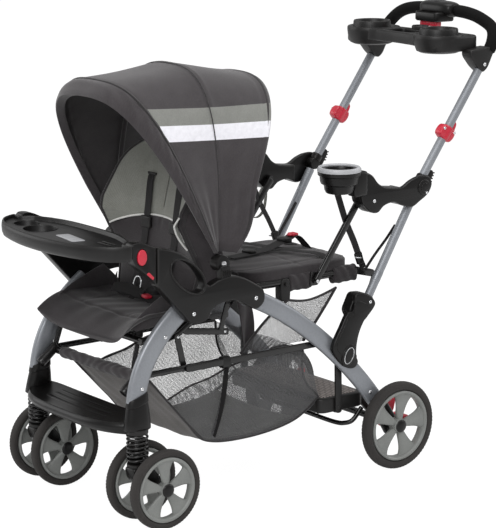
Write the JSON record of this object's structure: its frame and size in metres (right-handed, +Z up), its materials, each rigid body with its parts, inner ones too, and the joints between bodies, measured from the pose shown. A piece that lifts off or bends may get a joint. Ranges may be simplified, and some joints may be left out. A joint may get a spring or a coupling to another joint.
{
  "type": "sit and stand stroller",
  "caption": "Folding stroller for two children: a reclining front seat under a canopy and a rear bench over a standing platform, with a basket and trays.",
  "frame": {"origin": "middle of the overall box in plan, on the floor under the wheels", "axes": "+X to the child's left, -Y to the front where the child tray is, +Z up"},
  "size_m": [0.554, 1.2861, 1.1426],
  "materials": {
    "silver_paint": "silver painted steel tube",
    "frame_grey": "mid grey powder coat",
    "black_steel": "black powder coated steel",
    "black_plastic": "fine textured black moulding",
    "wheel_grey": "grey moulded wheel",
    "tyre_rubber": "foamed tyre",
    "charcoal_fabric": "woven polyester",
    "basket_mesh": "knitted mesh",
    "foam_grip": "foam sleeve",
    "red_plastic": "red moulding"
  },
  "bodies": {
    "front_frame": {"front_leg_left": "silver_paint", "front_leg_right": "silver_paint", "armrest_left": "black_plastic", "armrest_right": "black_plastic", "footrest": "black_plastic", "seat_frame": "black_steel", "seat_pad": "charcoal_fabric", "basket_cross_tube": "black_steel", "basket_rail_left": "black_steel", "basket_rail_right": "black_steel", "basket": "basket_mesh", "bench_pad": "charcoal_fabric", "canopy": "charcoal_fabric"},
    "seat_back": {"seat_back": "charcoal_fabric"},
    "canopy_bow": {"canopy_bow": "charcoal_fabric"},
    "child_tray": {"child_tray": "black_plastic"},
    "tray_button_left": {"tray_button_left": "red_plastic"},
    "tray_button_right": {"tray_button_right": "red_plastic"},
    "rear_frame": {"rear_leg_left": "frame_grey", "rear_leg_right": "frame_grey", "rear_axle": "black_steel", "platform": "black_plastic", "platform_bar": "black_steel"},
    "brake_left": {"brake_lever_left": "red_plastic"},
    "brake_right": {"brake_lever_right": "red_plastic"},
    "rear_wheel_left": {"rear_left_tyre": "tyre_rubber", "rear_left_wheel": "wheel_grey"},
    "rear_wheel_right": {"rear_right_tyre": "tyre_rubber", "rear_right_wheel": "wheel_grey"},
    "suspension_left": {"caster_stem_left": "black_steel", "caster_spring_left": "black_steel"},
    "suspension_right": {"caster_stem_right": "black_steel", "caster_spring_right": "black_steel"},
    "caster_left": {"caster_fork_left": "black_plastic"},
    "caster_right": {"caster_fork_right": "black_plastic"},
    "front_wheel_outer_left": {"front_outer_left_tyre": "tyre_rubber", "front_outer_left_wheel": "wheel_grey"},
    "front_wheel_inner_left": {"front_inner_left_tyre": "tyre_rubber", "front_inner_left_wheel": "wheel_grey"},
    "front_wheel_outer_right": {"front_outer_right_tyre": "tyre_rubber", "front_outer_right_wheel": "wheel_grey"},
    "front_wheel_inner_right": {"front_inner_right_tyre": "tyre_rubber", "front_inner_right_wheel": "wheel_grey"},
    "lower_handle": {"fold_link_left": "black_plastic", "fold_link_right": "black_plastic", "lower_tube_left": "silver_paint", "lower_tube_right": "silver_paint", "arm_left": "black_plastic", "arm_right": "black_plastic", "cup_holder": "black_plastic"},
    "struts": {"strut_left": "black_steel", "strut_right": "black_steel"},
    "upper_handle": {"handle_tube": "silver_paint", "grip_left": "foam_grip", "grip_right": "foam_grip", "console": "black_plastic", "parent_tray": "black_plastic"},
    "trigger": {"trigger": "red_plastic"},
    "release_collar_left": {"release_collar_left": "red_plastic"},
    "release_collar_right": {"release_collar_right": "red_plastic"}
  },
  "joints": [
    {"name": "rear_leg_fold", "type": "hinge", "parent": "front_frame", "child": "rear_frame", "pos_m": [0, -0.185, 0.511], "axis": [-1, 0, 0], "range_deg": [0, 40]},
    {"name": "link_fold", "type": "hinge", "parent": "rear_frame", "child": "lower_handle", "pos_m": [0, 0.116, 0.316], "axis": [-1, 0, 0], "range_deg": [0, 8]},
    {"name": "strut_fold", "type": "hinge", "parent": "lower_handle", "child": "struts", "pos_m": [0, 0.197, 0.699], "axis": [-1, 0, 0], "range_deg": [0, 45]},
    {"name": "upper_handle_fold", "type": "hinge", "parent": "lower_handle", "child": "upper_handle", "pos_m": [0, 0.363, 0.719], "axis": [1, 0, 0], "range_deg": [0, 85]},
    {"name": "trigger_squeeze", "type": "slide", "parent": "upper_handle", "child": "trigger", "axis": [0, 1, 0], "range_m": [0, 0.008], "stiffness_N_per_m": 500},
    {"name": "collar_slide_left", "type": "slide", "parent": "upper_handle", "child": "release_collar_left", "axis": [0, 0.5892, 0.808], "range_m": [0, 0.012], "stiffness_N_per_m": 300},
    {"name": "collar_slide_right", "type": "slide", "parent": "upper_handle", "child": "release_collar_right", "axis": [0, 0.5892, 0.808], "range_m": [0, 0.012], "stiffness_N_per_m": 300},
    {"name": "suspension_left", "type": "slide", "parent": "front_frame", "child": "suspension_left", "axis": [0, 0, 1], "range_m": [0, 0.01], "stiffness_N_per_m": 8000, "springref_m": -0.02, "deforming": ["caster_spring_left"]},
    {"name": "suspension_right", "type": "slide", "parent": "front_frame", "child": "suspension_right", "axis": [0, 0, 1], "range_m": [0, 0.01], "stiffness_N_per_m": 8000, "springref_m": -0.02, "deforming": ["caster_spring_right"]},
    {"name": "caster_swivel_left", "type": "hinge", "parent": "suspension_left", "child": "caster_left", "pos_m": [0.2135, -0.508, 0.14], "axis": [0, 0, 1], "continuous": true},
    {"name": "caster_swivel_right", "type": "hinge", "parent": "suspension_right", "child": "caster_right", "pos_m": [-0.2135, -0.508, 0.14], "axis": [0, 0, 1], "continuous": true},
    {"name": "front_spin_outer_left", "type": "hinge", "parent": "caster_left", "child": "front_wheel_outer_left", "pos_m": [0.263, -0.465, 0.096], "axis": [1, 0, 0], "continuous": true},
    {"name": "front_spin_inner_left", "type": "hinge", "parent": "caster_left", "child": "front_wheel_inner_left", "pos_m": [0.164, -0.465, 0.096], "axis": [1, 0, 0], "continuous": true},
    {"name": "front_spin_outer_right", "type": "hinge", "parent": "caster_right", "child": "front_wheel_outer_right", "pos_m": [-0.263, -0.465, 0.096], "axis": [1, 0, 0], "continuous": true},
    {"name": "front_spin_inner_right", "type": "hinge", "parent": "caster_right", "child": "front_wheel_inner_right", "pos_m": [-0.164, -0.465, 0.096], "axis": [1, 0, 0], "continuous": true},
    {"name": "rear_spin_left", "type": "hinge", "parent": "rear_frame", "child": "rear_wheel_left", "pos_m": [0.239, 0.277, 0.113], "axis": [1, 0, 0], "continuous": true},
    {"name": "rear_spin_right", "type": "hinge", "parent": "rear_frame", "child": "rear_wheel_right", "pos_m": [-0.239, 0.277, 0.113], "axis": [1, 0, 0], "continuous": true},
    {"name": "brake_press_left", "type": "hinge", "parent": "rear_frame", "child": "brake_left", "pos_m": [0.183, 0.277, 0.113], "axis": [-1, 0, 0], "range_deg": [0, 20]},
    {"name": "brake_press_right", "type": "hinge", "parent": "rear_frame", "child": "brake_right", "pos_m": [-0.183, 0.277, 0.113], "axis": [-1, 0, 0], "range_deg": [0, 20]},
    {"name": "canopy_fold", "type": "hinge", "parent": "front_frame", "child": "canopy_bow", "pos_m": [0, -0.271, 0.603], "axis": [-1, 0, 0], "range_deg": [0, 38]},
    {"name": "seat_recline", "type": "hinge", "parent": "front_frame", "child": "seat_back", "pos_m": [0, -0.313, 0.452], "axis": [-1, 0, 0], "range_deg": [0, 30]},
    {"name": "child_tray_slide", "type": "slide", "parent": "front_frame", "child": "child_tray", "axis": [0, -1, 0], "range_m": [0, 0.06]},
    {"name": "tray_button_press_left", "type": "slide", "parent": "front_frame", "child": "tray_button_left", "axis": [-1, 0, 0], "range_m": [0, 0.004], "stiffness_N_per_m": 500},
    {"name": "tray_button_press_right", "type": "slide", "parent": "front_frame", "child": "tray_button_right", "axis": [1, 0, 0], "range_m": [0, 0.004], "stiffness_N_per_m": 500}
  ],
  "couplings": [
    {"joint": "link_fold", "follows": "rear_leg_fold", "ratio": 0.1625},
    {"joint": "strut_fold", "follows": "rear_leg_fold", "ratio": 1.0375}
  ]
}
